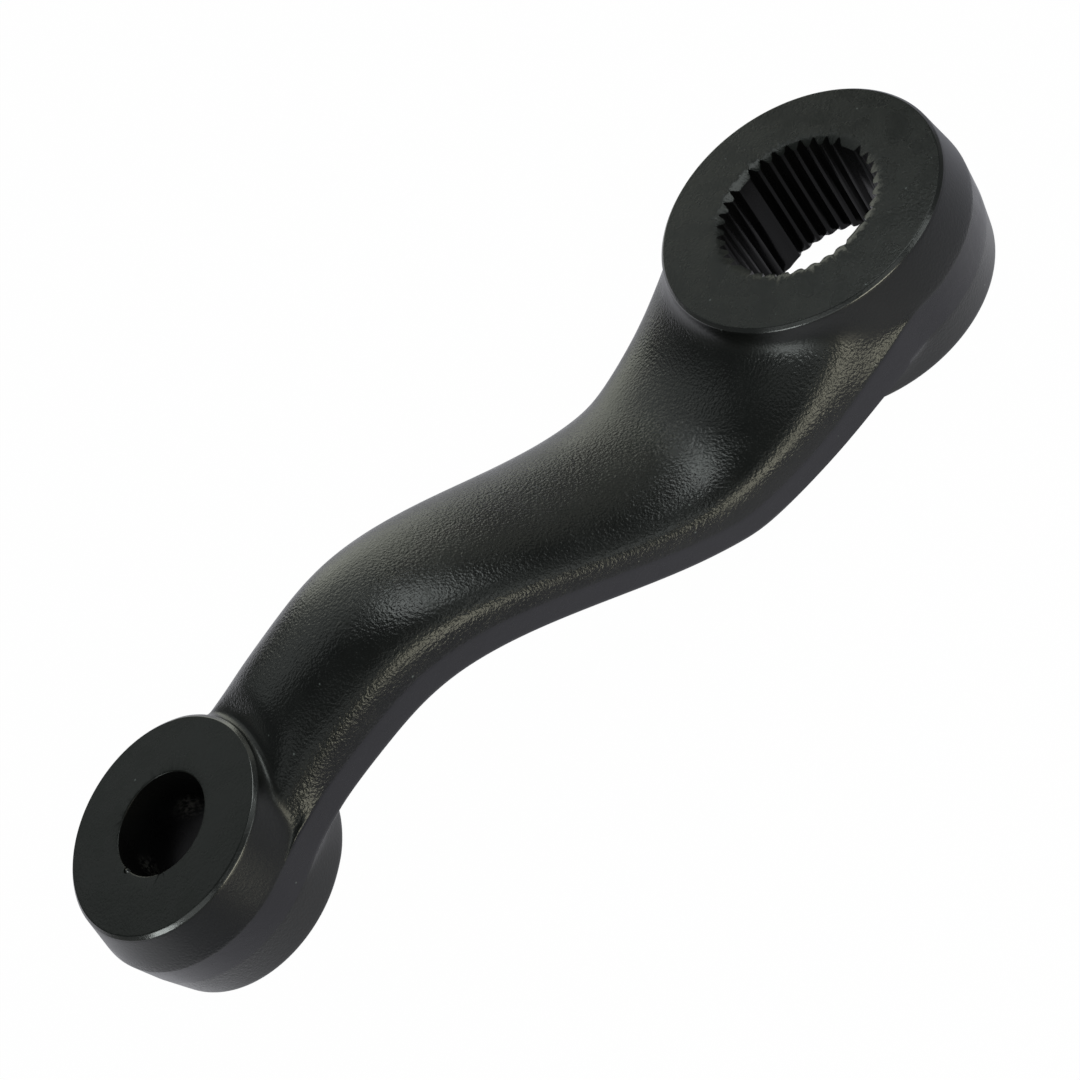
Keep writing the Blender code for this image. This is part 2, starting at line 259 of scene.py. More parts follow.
def edit(piece, kind):
    """Makes a piece ready to be selected on, in its points, edges or faces, with none selected."""
    pick_only(piece)
    bpy.ops.object.mode_set(mode="EDIT")
    bpy.ops.mesh.select_mode(type=kind)
    bpy.ops.mesh.select_all(action="DESELECT")
    bpy.ops.object.mode_set(mode="OBJECT")


def edit_edges(piece, wanted):
    """Opens a piece in edit mode with the edges selected that a test of their two ends wants."""
    edit(piece, "EDGE")
    points = piece.data.vertices
    for edge in piece.data.edges:
        edge.select = wanted(*(points[i].co for i in edge.vertices))
    bpy.ops.object.mode_set(mode="EDIT")


def edit_faces(piece, wanted):
    """Opens a piece in edit mode with the faces selected that a test of the face wants."""
    edit(piece, "FACE")
    for face in piece.data.polygons:
        face.select = wanted(face)
    bpy.ops.object.mode_set(mode="EDIT")


def close_edit():
    bpy.ops.object.mode_set(mode="OBJECT")


def new_piece(name):
    """Names the primitive that was just added, and puts its place and turn into its mesh."""
    piece = bpy.context.object
    piece.name = name
    bpy.ops.object.transform_apply(location=True, rotation=True, scale=True)
    return piece


def apply_modifier(piece, kind, **settings):
    pick_only(piece)
    bpy.ops.object.modifier_add(type=kind)
    modifier = piece.modifiers[-1]
    for name, value in settings.items():
        setattr(modifier, name, value)
    bpy.ops.object.modifier_apply(modifier=modifier.name)


def smooth_step(value, start, end):
    """0 before start, 1 after end, and level at both."""
    t = min(max((value - start) / (end - start), 0.0), 1.0)
    return t * t * (3 - 2 * t)


def mix(a, b, part):
    return a + (b - a) * part


def outward(before, point, after):
    """Lattice point whose smoothed curve passes through the middle point."""
    return point - (before - 2 * point + after) / 6


class ArmForm:
    """Where the arm's band and section lie at each distance from the shaft bore.

    A section of fullness 2 is round, and a fuller one is boxier. A swell gives the distances where
    an extra height starts, is reached, starts to fade and is gone.
    """

    fullness_of_root = 3.1
    fullness_of_crown = 2.35
    fullness_of_neck = 2.1
    fullness_of_belly = 1.8
    heel = 3.0 * MM
    dip_start = 0.5 * MM
    neck_reach = 11.0 * MM
    band_reach = 34.0 * MM
    root_reach = 58.0 * MM
    swell = (45 * MM, 75 * MM, 85 * MM, 118 * MM)
    top_swell = (70 * MM, 86 * MM, 94 * MM, 114 * MM)
    root_taper = math.radians(7.3)

    def __init__(self, sizes):
        self.sizes = sizes
        self.neck = sizes.centre_distance - self.neck_reach

    def band_foot(self, distance):
        sizes = self.sizes
        shaft = -sizes.shaft_band_drop - sizes.shaft_band_height
        stud = sizes.stud_face_rise - sizes.stud_band_drop - sizes.stud_band_height
        if distance < sizes.dip_distance:
            return mix(shaft, sizes.dip_height, smooth_step(distance, self.dip_start, sizes.dip_distance))
        if distance < sizes.crest_distance:
            climb = smooth_step(distance, sizes.dip_distance, sizes.crest_distance)
            return mix(sizes.dip_height, sizes.crest_height, climb)
        return mix(sizes.crest_height, stud, smooth_step(distance, sizes.crest_distance, self.neck))

    def band_height(self, distance):
        sizes = self.sizes
        near_shaft = 1 - smooth_step(distance, 0.0, self.band_reach)
        near_stud = smooth_step(distance, self.neck, sizes.centre_distance)
        halfway = halfway_share(distance, self.swell)
        height = mix(sizes.arm_band_height, sizes.shaft_band_height, near_shaft)
        return mix(height, sizes.stud_band_height, near_stud) + halfway * sizes.band_swell

    def half_width(self, distance):
        """The sides leave the shaft boss's band on a tangent and flare a little at the neck."""
        sizes = self.sizes
        start = sizes.shaft_radius * math.sin(self.root_taper)
        root = sizes.shaft_radius * math.cos(self.root_taper)
        if distance < sizes.waist_distance:
            span = sizes.waist_distance - start
            t = (distance - start) / span
            narrowing = span * math.tan(self.root_taper) * t * (1 - t) ** 2
            return mix(root, sizes.waist_half_width, t * t * (3 - 2 * t)) - narrowing
        flare = smooth_step(distance, sizes.waist_distance, self.neck)
        return mix(sizes.waist_half_width, sizes.neck_half_width, flare)

    def crown(self, distance):
        """Height of the arm's top over the band, and how full its section is there."""
        sizes = self.sizes
        root = 1 - smooth_step(distance, sizes.shaft_radius, self.root_reach)
        neck = smooth_step(distance, sizes.crest_distance, sizes.centre_distance - sizes.stud_radius)
        top = sizes.body_height - root * sizes.root_drop + neck * sizes.neck_rise
        top += halfway_share(distance, self.top_swell) * sizes.body_swell
        fullness = mix(self.fullness_of_crown, self.fullness_of_root, root)
        return top - self.band_height(distance), mix(fullness, self.fullness_of_neck, neck)

    def section(self, distance):
        """One loop of points round the arm: over the top, down one side, under, and up the other."""
        half = ARM_COLUMNS // 2
        width = self.half_width(distance)
        low = self.band_foot(distance)
        high = low + self.band_height(distance)
        crown, fullness = self.crown(distance)
        over = []
        under = []
        for i in range(-half, half + 1):
            across, up = rounded(i / half, fullness)
            over.append(Vector((-distance, width * across, high + crown * up)))
            across, up = rounded(i / half, self.fullness_of_belly)
            under.append(Vector((-distance, width * across, low - self.sizes.belly_depth * up)))
        far_side = [Vector((-distance, width, high)), Vector((-distance, width, low))]
        near_side = [Vector((-distance, -width, low)), Vector((-distance, -width, high))]
        return over + far_side + under[::-1] + near_side

    def blended_section(self, opening, distance, part):
        """A loop part of the way from a boss's opening to the plain section at a distance."""
        loop = []
        for i, point in enumerate(opening):
            here = self.section(mix(-point.x, distance, part))[i]
            left_over = point - self.section(-point.x)[i]
            loop.append(here + left_over * (1 - part) ** 2)
        return loop


def halfway_share(distance, swell):
    """1 along the middle of the arm, fading to 0 at both ends of a swell."""
    rising, full, falling, gone = swell
    return smooth_step(distance, rising, full) - smooth_step(distance, falling, gone)


def rounded(part, fullness):
    """Point on a quarter of a superellipse, from its top (0) towards its side (1 or -1)."""
    angle = abs(part) * CORNER_ANGLE
    across = math.sin(angle) ** (2 / fullness)
    up = math.cos(angle) ** (2 / fullness)
    return math.copysign(across, part), up


class BossForm:
    """The rings of one boss, from its machined face down to its foot."""

    ring_names = ("face_flat", "face", "chamfer", "wall", "shoulder",
                  "band_top", "band_bottom", "heel", "foot_wall", "foot", "foot_flat")
    creases = {"face": CHAMFER_CREASE, "chamfer": CHAMFER_CREASE, "band_top": BAND_CREASE,
               "band_bottom": BAND_CREASE, "foot_wall": FOOT_CREASE, "foot": FOOT_CREASE}
    face_edge = 0.6 * MM
    foot_edge = 0.5 * MM
    least_rise = 0.35 * MM
    fullness_of_root = 2.3

    def __init__(self, form, chamfer, side, arm_angle, centre, face, depth, radius, face_setback,
                 foot_setback, band_drop, band_height, shoulder, shoulder_reach, fillet, offset):
        self.form = form
        self.chamfer = chamfer
        self.side = side
        self.arm_angle = arm_angle
        self.centre = centre
        self.face = face
        self.foot = face - depth
        self.band_radius = radius
        self.face_radius = radius - face_setback
        self.foot_radius = radius - foot_setback
        self.band_top = face - band_drop
        self.band_bottom = self.band_top - band_height
        self.shoulder = shoulder
        self.shoulder_reach = shoulder_reach
        self.fillet = fillet
        self.forged_centre = centre + side * offset

    def angles(self):
        """Angles from the arm's direction: the columns that meet the arm, then the rest."""
        half = ARM_COLUMNS // 2
        meeting = [self.arm_angle * i / half for i in range(-half, half + 1)]
        rest = RING_COLUMNS - ARM_COLUMNS
        span = 2 * (math.pi - self.arm_angle)
        return meeting + [self.arm_angle + span * i / rest for i in range(1, rest)]

    def point(self, centre, radius, angle, height):
        along = centre - self.side * radius * math.cos(angle)
        return Vector((-along, radius * math.sin(angle), height))

    def rise(self, angle):
        """How far over the band the arm's top meets this boss's wall."""
        turned = (angle + math.pi) % (2 * math.pi) - math.pi
        left = max(1 - abs(turned / self.shoulder_reach) ** self.fullness_of_root, 0.0)
        return max(self.shoulder * left ** (1 / self.fullness_of_root), self.least_rise)

    def drop(self, angle):
        """How far under the band the arm's underside meets this boss's wall."""
        turned = (angle + math.pi) % (2 * math.pi) - math.pi
        part = max(-1.0, min(1.0, turned / self.arm_angle))
        return self.form.heel * rounded(part, self.form.fullness_of_belly)[1]

    def ring(self, centre, radius, height):
        return [self.point(centre, radius, angle, height) for angle in self.angles()]

    def band_ring(self, height):
        """A ring of the band, whose corners reach out to the arm's sides and follow its dip."""
        points = self.ring(self.forged_centre, self.band_radius, height)
        for corner in (0, ARM_COLUMNS):
            point = points[corner]
            reach = max(abs(point.y), self.form.half_width(-point.x))
            point.y = math.copysign(reach, point.y)
            point.z += self.form.band_foot(-point.x) - self.band_bottom
        return points

    def shoulder_ring(self, fillet):
        """The ring where the arm's top meets the wall, moved off the wall by a fillet."""
        points = []
        for angle in self.angles():
            lift = self.rise(angle)
            part = lift / (self.face - self.band_top)
            radius = mix(self.band_radius, self.face_radius, part) + fillet * lift / self.shoulder
            centre = mix(self.forged_centre, self.centre, part)
            points.append(self.point(centre, radius, angle, self.band_top + lift))
        return points

    def heel_ring(self):
        points = []
        for angle in self.angles():
            drop = self.drop(angle)
            part = drop / (self.band_bottom - self.foot)
            radius = mix(self.band_radius, self.foot_radius, part)
            points.append(self.point(self.forged_centre, radius, angle, self.band_bottom - drop))
        return points

    def rings(self):
        """All rings, in the order of ring_names."""
        edge = self.face_radius - self.chamfer
        chamfer = self.ring(self.centre, self.face_radius, self.face - self.chamfer)
        return [
            self.ring(self.centre, edge - self.face_edge, self.face),
            self.ring(self.centre, edge, self.face),
            chamfer,
            [(a + b) / 2 for a, b in zip(chamfer, self.shoulder_ring(0.0))],
            self.shoulder_ring(self.fillet),
            self.band_ring(self.band_top),
            self.band_ring(self.band_bottom),
            self.heel_ring(),
            self.ring(self.forged_centre, self.foot_radius, self.foot + self.foot_edge),
            self.ring(self.forged_centre, self.foot_radius - self.foot_edge, self.foot),
            self.ring(self.forged_centre, self.foot_radius - 3 * self.foot_edge, self.foot),
        ]

    def lattice(self):
        """The rings' points, moved so that the smoothed rings pass through them."""
        shaped = []
        for ring in self.rings():
            following = ring[1:] + ring[:1]
            shaped.append([outward(*trio) for trio in zip(ring[-1:] + ring, ring, following)])
        return shaped

    def opening(self, lattice):
        """The boundary that the arm leaves through, in the order of a section's points."""
        row = dict(zip(self.ring_names, lattice))
        last = ARM_COLUMNS
        over = row["shoulder"][:last + 1]
        under = row["heel"][:last + 1]
        far_side = [row["band_top"][last], row["band_bottom"][last]]
        near_side = [row["band_bottom"][0], row["band_top"][0]]
        return over + far_side + under[::-1] + near_side


def shaft_boss(form, chamfer):
    sizes = form.sizes
    return BossForm(form, chamfer, side=-1, arm_angle=SHAFT_ARM_ANGLE, centre=0.0, face=0.0,
                    depth=sizes.shaft_depth, radius=sizes.shaft_radius,
                    face_setback=2.0 * MM, foot_setback=0.6 * MM,
                    band_drop=sizes.shaft_band_drop, band_height=sizes.shaft_band_height,
                    shoulder=5.6 * MM, shoulder_reach=math.radians(66), fillet=1.3 * MM, offset=0.0)


def stud_boss(form, chamfer):
    sizes = form.sizes
    return BossForm(form, chamfer, side=1, arm_angle=STUD_ARM_ANGLE, centre=sizes.centre_distance,
                    face=sizes.stud_face_rise, depth=sizes.stud_depth, radius=sizes.stud_radius,
                    face_setback=2.2 * MM, foot_setback=0.5 * MM,
                    band_drop=sizes.stud_band_drop, band_height=sizes.stud_band_height,
                    shoulder=7.3 * MM, shoulder_reach=math.radians(45), fillet=0.9 * MM,
                    offset=sizes.stud_offset)


def blank(name, columns, rows, ends):
    """A plain tube with a cut at each row, one unit apart, ready to be shaped."""
    clear_selection()
    bpy.ops.mesh.primitive_cylinder_add(vertices=columns, radius=1, depth=rows - 1, end_fill_type=ends,
                                        rotation=(0, 0, -math.pi / 2))
    tube = new_piece(name)
    edit_edges(tube, lambda a, b: abs(a.z - b.z) > HALF_ROW)
    bpy.ops.mesh.subdivide(number_cuts=rows - 2)
    close_edit()
    return tube


def depth_in(point, rows):
    """How many rows a point of a blank lies below its first row."""
    return (rows - 1) / 2 - point.z


def turn_round(point, columns):
    """How many columns a point lies round from the first one."""
    return math.atan2(point.y, point.x) / (2 * math.pi) * columns


def row_of(point, rows):
    return round(depth_in(point, rows))


def column_of(point, columns):
    return round(turn_round(point, columns)) % columns


def crease_edges(tube, wanted, sharpness):
    """Keeps edges of a blank sharp when it is smoothed."""
    edit_edges(tube, wanted)
    bpy.ops.transform.edge_crease(value=sharpness)
    close_edit()


def shape(tube, points):
    """Moves each point of a blank to its place in the lattice."""
    rows = len(points)
    columns = len(points[0])
    for vertex in tube.data.vertices:
        vertex.co = points[row_of(vertex.co, rows)][column_of(vertex.co, columns)]


def finish_faces(tube, kind_of):
    """Gives each face of a blank its kind of surface."""
    for finish in FINISHES:
        tube.data.materials.append(bpy.data.materials[finish])
    for face in tube.data.polygons:
        face.material_index = kind_of(face.center)


def forge_boss(name, boss):
    """One boss as a lathe-like stack of rings, open where the arm leaves it."""
    names = boss.ring_names
    rows = len(names)
    tube = blank(name, RING_COLUMNS, rows, "NGON")
    for ring, sharpness in boss.creases.items():
        row = names.index(ring)
        crease_edges(tube, lambda a, b: row_of(a, rows) == row == row_of(b, rows), sharpness)
    band = names.index("band_top")
    heel = names.index("heel")
    shoulder = names.index("shoulder")

    def kind_of(centre):
        depth = depth_in(centre, rows)
        if depth < names.index("face") or depth > names.index("foot"):
            return MACHINED
        if depth < names.index("chamfer"):
            return EDGE
        return TRIM if band < depth < band + 1 else SKIN

    def in_opening(face):
        turn = turn_round(face.center, RING_COLUMNS) % RING_COLUMNS
        return shoulder < depth_in(face.center, rows) < heel and turn < ARM_COLUMNS

    finish_faces(tube, kind_of)
    edit_faces(tube, in_opening)
    bpy.ops.mesh.delete(type="FACE")
    close_edit()
    lattice = boss.lattice()
    shape(tube, lattice)
    return tube, boss.opening(lattice)


def forge_bar(form, shaft_opening, stud_opening):
    """The arm between the bosses, as a tube of sections from one opening to the other."""
    sizes = form.sizes
    start = sizes.shaft_radius + SHAFT_FILLET_ROOM
    end = sizes.centre_distance - sizes.stud_radius - STUD_FILLET_ROOM
    targets = [shaft_opening]
    for part in FILLET_SHARES:
        targets.append(form.blended_section(shaft_opening, start, part))
    for i in range(ARM_STATIONS):
        targets.append(form.section(mix(start, end, i / (ARM_STATIONS - 1))))
    for part in reversed(FILLET_SHARES):
        targets.append(form.blended_section(stud_opening, end, part))
    targets.append(stud_opening)
    loops = [shaft_opening]
    for before, here, after in zip(targets, targets[1:], targets[2:]):
        loops.append([outward(*trio) for trio in zip(before, here, after)])
    loops.append(stud_opening)
    columns = len(shaft_opening)
    tube = blank("arm_bar", columns, len(loops), "NOTHING")
    corners = (ARM_COLUMNS + 1, ARM_COLUMNS + 2, columns - 2, columns - 1)

    def along_corner(a, b):
        return abs(a.z - b.z) > HALF_ROW and column_of(a, columns) in corners

    def kind_of(centre):
        turn = turn_round(centre, columns) % columns
        on_far_side = corners[0] < turn < corners[1]
        on_near_side = corners[2] < turn < corners[3]
        return TRIM if on_far_side or on_near_side else SKIN

    crease_edges(tube, along_corner, BAND_CREASE)
    finish_faces(tube, kind_of)
    shape(tube, loops)
    return tube


def forge(sizes, chamfer):
    """Both bosses and the arm, joined in one lattice and smoothed."""
    form = ArmForm(sizes)
    shaft, shaft_opening = forge_boss("shaft_boss", shaft_boss(form, chamfer))
    stud, stud_opening = forge_boss("stud_boss", stud_boss(form, chamfer))
    bar = forge_bar(form, shaft_opening, stud_opening)
    clear_selection()
    for piece in (shaft, stud, bar):
        piece.select_set(True)
    bpy.context.view_layer.objects.active = bar
    bpy.ops.object.join()
    bar.name = "coated_pitman_arm"
    edit(bar, "VERT")
    bpy.ops.object.mode_set(mode="EDIT")
    bpy.ops.mesh.select_all(action="SELECT")
    bpy.ops.mesh.remove_doubles(threshold=TINY)
    bpy.ops.mesh.normals_make_consistent(inside=False)
    bpy.ops.mesh.select_all(action="DESELECT")
    bpy.ops.mesh.select_non_manifold()
    close_edit()
    if any(vertex.select for vertex in bar.data.vertices):
        raise RuntimeError("the forging's lattice is not closed")
    apply_modifier(bar, "SUBSURF", levels=SMOOTHING, render_levels=SMOOTHING)
    return bar


def cut(arm, cutter, finish):
    """Subtracts a cutter from the arm, and leaves the cutter's finish on the cut."""
    cutter.data.materials.append(bpy.data.materials[finish])
    apply_modifier(arm, "BOOLEAN", object=cutter, operation="DIFFERENCE", solver="EXACT",
                   material_mode="TRANSFER")
    bpy.data.objects.remove(cutter, do_unlink=True)


def serration_cutter(bores, top, foot):
    """A bar with the serrations' own section: a groove at each pitch but the wide teeth."""
    clear_selection()
    around = bores.serrations * GROOVE_STEPS
    bpy.ops.mesh.primitive_cylinder_add(vertices=around, radius=bores.tooth_radius,
                                        depth=top - foot + 2 * BAR_MARGIN,
                                        location=(0, 0, (top + foot) / 2))
    bar = new_piece("serration_cutter")
    spacing = bores.serrations // bores.wide_teeth
    depth = bores.groove_radius - bores.tooth_radius

    def grooved(point, step):
        """Whether a point lies this many steps from the middle of a pitch that is cut."""
        place = column_of(point, around)
        pitch = round(place / GROOVE_STEPS)
        return abs(place - pitch * GROOVE_STEPS) == step and pitch % bores.serrations % spacing != 0

    for step, reach in GROOVE_PROFILE.items():
        edit_edges(bar, lambda a, b: abs(a.z - b.z) > BAR_MARGIN and grooved(a, step))
        factor = 1 + depth * reach / bores.tooth_radius
        bpy.ops.transform.resize(value=(factor, factor, 1), center_override=(0, 0, 0))
        close_edit()
    return bar


def mouth_cutter(bores, face, depth, side):
    """A cone that chamfers the serrations' ends at one face."""
    clear_selection()
    inner = bores.tooth_radius - MOUTH_INSET
    slope = (bores.groove_radius - bores.tooth_radius) / depth
    reach = depth + MOUTH_MARGIN
    outer = inner + MOUTH_INSET + slope * reach
    below, above = (outer, inner) if side < 0 else (inner, outer)
    bpy.ops.mesh.primitive_cone_add(vertices=MOUTH_SIDES, radius1=below, radius2=above, depth=reach,
                                    location=(0, 0, face + side * (MOUTH_MARGIN - depth) / 2))
    return new_piece("mouth_cutter")


def taper_cutter(sizes, bores):
    """A cone with the ball stud's taper, larger at the face."""
    clear_selection()
    slope = bores.stud_bore_taper / 2
    depth = sizes.stud_depth + 2 * TAPER_MARGIN
    wide = bores.stud_bore_radius + TAPER_MARGIN * slope
    middle = (-sizes.centre_distance, 0, sizes.stud_face_rise - sizes.stud_depth / 2)
    bpy.ops.mesh.primitive_cone_add(vertices=TAPER_SIDES, radius1=wide - depth * slope, radius2=wide,
                                    depth=depth, location=middle)
    return new_piece("taper_cutter")


def nick_cutter():
    """A small ball that leaves the nick on the tapered bore's rim."""
    clear_selection()
    bpy.ops.mesh.primitive_ico_sphere_add(subdivisions=3, radius=NICK_RADIUS, location=NICK_PLACE)
    return new_piece("nick_cutter")


def machine(arm, sizes, bores):
    """Cuts both bores, breaks the tapered bore's rim and leaves the nick on it."""
    foot = -sizes.shaft_depth
    cut(arm, serration_cutter(bores, 0.0, foot), "bore_wall")
    cut(arm, mouth_cutter(bores, 0.0, bores.mouth_depth, 1), "machined_face")
    cut(arm, mouth_cutter(bores, foot, bores.foot_mouth_depth, -1), "machined_face")
    cut(arm, taper_cutter(sizes, bores), "bore_wall")
    axis = Vector((-sizes.centre_distance, 0))
    face = sizes.stud_face_rise

    def on_rim(point):
        off_axis = (point.xy - axis).length - bores.stud_bore_radius
        return abs(point.z - face) < TINY and abs(off_axis) < RIM_TOLERANCE

    edit_edges(arm, lambda a, b: on_rim(a) and on_rim(b))
    bpy.ops.mesh.bevel(offset=bores.rim_bevel, segments=RIM_SEGMENTS)
    close_edit()
    cut(arm, nick_cutter(), "broken_edge")
    pick_only(arm)
    bpy.ops.object.shade_smooth_by_angle(angle=SHADE_ANGLE)


def add_node(tree, kind, place, values=None, **settings):
    """A node at its place in the editor, with plain values on its own sockets."""
    node = tree.nodes.new(kind)
    node.location = place
    for name, value in settings.items():
        setattr(node, name, value)
    for socket, value in (values or {}).items():
        node.inputs[socket].default_value = value
    return node


def math_node(tree, operation, place, values=None, **settings):
    return add_node(tree, "ShaderNodeMath", place, values, operation=operation, **settings)


def fade_node(tree, place, values=None):
    """Maps one range to another, level at both ends."""
    return add_node(tree, "ShaderNodeMapRange", place, values, interpolation_type="SMOOTHSTEP")


def mix_node(tree, place, values=None, data_type="RGBA"):
    return add_node(tree, "ShaderNodeMix", place, values, data_type=data_type)


def link(tree, *wires):
    """Joins nodes by wires, each given as a node, its output, the next node and its input."""
    for source, output, target, socket in wires:
        tree.links.new(source.outputs[output], target.inputs[socket])


def new_group(name, inputs, outputs):
    """A shader node group with named number sockets, and its nodes for what goes in and out."""
    group = bpy.data.node_groups.new(name, "ShaderNodeTree")
    for label, default in inputs.items():
        socket = group.interface.new_socket(label, in_out="INPUT", socket_type="NodeSocketFloat")
        socket.default_value = default
    for label in outputs:
        group.interface.new_socket(label, in_out="OUTPUT", socket_type="NodeSocketFloat")
    start = add_node(group, "NodeGroupInput", (-900, 0))
    end = add_node(group, "NodeGroupOutput", (500, 0))
    return group, start, end


def cast_grain_group():
    """Uneven skin of a blasted and coated forging: a wavy layer, a fine grain, and sparse specks."""
    group, start, end = new_group("forged_grain",
                                  {"Wave Scale": 900.0, "Grain Scale": 2600.0, "Grain Share": 0.5},
                                  ("Height", "Mottle", "Speck"))
    coords = add_node(group, "ShaderNodeTexCoord", (-900, 300))
    wave = add_node(group, "ShaderNodeTexNoise", (-300, 300), {"Detail": 1.0})
    grain = add_node(group, "ShaderNodeTexNoise", (-300, 0), {"Detail": 2.0, "Roughness": 0.6})
    broad = add_node(group, "ShaderNodeTexNoise", (-300, -300), {"Scale": MOTTLE_SCALE, "Detail": 4.0})
    cell = add_node(group, "ShaderNodeTexVoronoi", (-300, -600), {"Scale": SPECK_SCALE})
    dot = fade_node(group, (0, -600), {"From Min": SPECK_REACH, "From Max": SPECK_CORE})
    pick = add_node(group, "ShaderNodeSeparateColor", (0, -850))
    chosen = math_node(group, "GREATER_THAN", (200, -850), {1: SPECKS_LEFT_OUT})
    speck = math_node(group, "MULTIPLY", (350, -600))
    layered = math_node(group, "MULTIPLY_ADD", (0, 150))
    for texture in (wave, grain, broad, cell):
        link(group, (coords, "Object", texture, "Vector"))
    link(group,
         (start, "Wave Scale", wave, "Scale"),
         (start, "Grain Scale", grain, "Scale"),
         (grain, "Fac", layered, 0),
         (start, "Grain Share", layered, 1),
         (wave, "Fac", layered, 2),
         (layered, "Value", end, "Height"),
         (broad, "Fac", end, "Mottle"),
         (cell, "Distance", dot, "Value"),
         (cell, "Color", pick, "Color"),
         (pick, "Red", chosen, 0),
         (dot, "Result", speck, 0),
         (chosen, "Value", speck, 1),
         (speck, "Value", end, "Speck"))
    return group


def near_boss_group():
    """How close a point is to a boss, whose walls are smoother than the arm, as a mask."""
    group, start, end = new_group("near_boss", {"Axis": 0.0, "Reach": 0.03, "Fade": 0.004}, ("Mask",))
    coords = add_node(group, "ShaderNodeTexCoord", (-900, 300))
    split = add_node(group, "ShaderNodeSeparateXYZ", (-700, 300))
    along = math_node(group, "SUBTRACT", (-500, 300))
    level = add_node(group, "ShaderNodeCombineXYZ", (-300, 300))
    off_axis = add_node(group, "ShaderNodeVectorMath", (-100, 300), operation="LENGTH")
    far = math_node(group, "ADD", (-300, 0))
    near = fade_node(group, (200, 100), {"To Min": 1.0, "To Max": 0.0})
    link(group,
         (coords, "Object", split, "Vector"),
         (split, "X", along, 0),
         (start, "Axis", along, 1),
         (along, "Value", level, "X"),
         (split, "Y", level, "Y"),
         (level, "Vector", off_axis, 0),
         (start, "Reach", far, 0),
         (start, "Fade", far, 1),
         (off_axis, "Value", near, "Value"),
         (start, "Reach", near, "From Min"),
         (far, "Value", near, "From Max"),
         (near, "Result", end, "Mask"))
    return group


def worn_spot_group():
    """A patchy spot round a point of the part, as a mask."""
    group, start, end = new_group("worn_spot",
                                  {"X": 0.0, "Y": 0.0, "Z": 0.0, "Radius": 0.005, "Strength": 1.0},
                                  ("Mask",))
    coords = add_node(group, "ShaderNodeTexCoord", (-900, 300))
    centre = add_node(group, "ShaderNodeCombineXYZ", (-600, 0))
    away = add_node(group, "ShaderNodeVectorMath", (-400, 150), operation="DISTANCE")
    near = fade_node(group, (-200, 150), {"From Min": 0.0, "To Min": 1.0, "To Max": 0.0})
    patches = add_node(group, "ShaderNodeTexNoise", (-400, -200), {"Scale": PATCH_SCALE, "Detail": 4.0})
    patchy = add_node(group, "ShaderNodeMapRange", (-200, -200),
                      {"From Min": PATCH_START, "From Max": PATCH_FULL})
    masked = math_node(group, "MULTIPLY", (50, 0))
    scaled = math_node(group, "MULTIPLY", (250, 0))
    for axis in ("X", "Y", "Z"):
        link(group, (start, axis, centre, axis))
    link(group,
         (coords, "Object", away, 0),
         (centre, "Vector", away, 1),
         (away, "Value", near, "Value"),
         (start, "Radius", near, "From Max"),
         (coords, "Object", patches, "Vector"),
         (patches, "Fac", patchy, "Value"),
         (near, "Result", masked, 0),
         (patchy, "Result", masked, 1),
         (masked, "Value", scaled, 0),
         (start, "Strength", scaled, 1),
         (scaled, "Value", end, "Mask"))
    return group


def coating(name, tone, roughness, grain, wave_scale, grain_share, bump, shine=1.0):
    """Black coating: a dark plastic-like film whose roughness and height follow the grain."""
    material = bpy.data.materials.new(name)
    material.use_nodes = True
    tree = material.node_tree
    shader = tree.nodes["Principled BSDF"]
    shader.inputs["Metallic"].default_value = 0.0
    shader.inputs["IOR"].default_value = 1.5
    shader.inputs["Specular IOR Level"].default_value = USUAL_SHINE * shine
    surface = add_node(tree, "ShaderNodeGroup", (-900, 0),
                       {"Wave Scale": wave_scale, "Grain Share": grain_share}, node_tree=grain)
    tint = mix_node(tree, (-600, 200), {"A": (*[DARKEST * c for c in tone], 1),
                                        "B": (*[LIGHTEST * c for c in tone], 1)})
    dusted = mix_node(tree, (-350, 200), {"B": SPECK_COLOUR})
    gloss = add_node(tree, "ShaderNodeMapRange", (-400, 0),
                     {"From Min": MOTTLE_LOW, "From Max": MOTTLE_HIGH,
                      "To Min": roughness - ROUGHNESS_SPREAD, "To Max": roughness + ROUGHNESS_SPREAD})
    relief = add_node(tree, "ShaderNodeBump", (-400, -300), {"Strength": 1.0, "Distance": bump})
    link(tree,
         (surface, "Mottle", tint, "Factor"),
         (tint, "Result", dusted, "A"),
         (surface, "Speck", dusted, "Factor"),
         (surface, "Mottle", gloss, "Value"),
         (surface, "Height", relief, "Height"),
         (dusted, "Result", shader, "Base Color"),
         (gloss, "Result", shader, "Roughness"),
         (relief, "Normal", shader, "Normal"))
    return material


def smooth_near_bosses(material, sizes, look, bump):
    """Gives a coating the smoother, duller walls of both bosses."""
    tree = material.node_tree
    shader = tree.nodes["Principled BSDF"]
    gloss = shader.inputs["Roughness"].links[0].from_node
    relief = shader.inputs["Normal"].links[0].from_node
    near_boss = near_boss_group()
    both = math_node(tree, "MAXIMUM", (-900, -600))
    bosses = ((0.0, sizes.shaft_radius), (-sizes.centre_distance, sizes.stud_radius))
    for row, (axis, radius) in enumerate(bosses):
        mask = add_node(tree, "ShaderNodeGroup", (-1100, -500 - 250 * row),
                        {"Axis": axis, "Reach": radius + WALL_MARGIN, "Fade": WALL_FADE},
                        node_tree=near_boss)
        link(tree, (mask, "Mask", both, row))
    dull = mix_node(tree, (-150, 0), {"B": look.wall_roughness}, "FLOAT")
    calm = add_node(tree, "ShaderNodeMapRange", (-700, -600),
                    {"To Min": bump, "To Max": bump * WALL_BUMP_SHARE})
    link(tree,
         (both, "Value", dull, "Factor"),
         (gloss, "Result", dull, "A"),
         (dull, "Result", shader, "Roughness"),
         (both, "Value", calm, "Value"),
         (calm, "Result", relief, "Distance"))


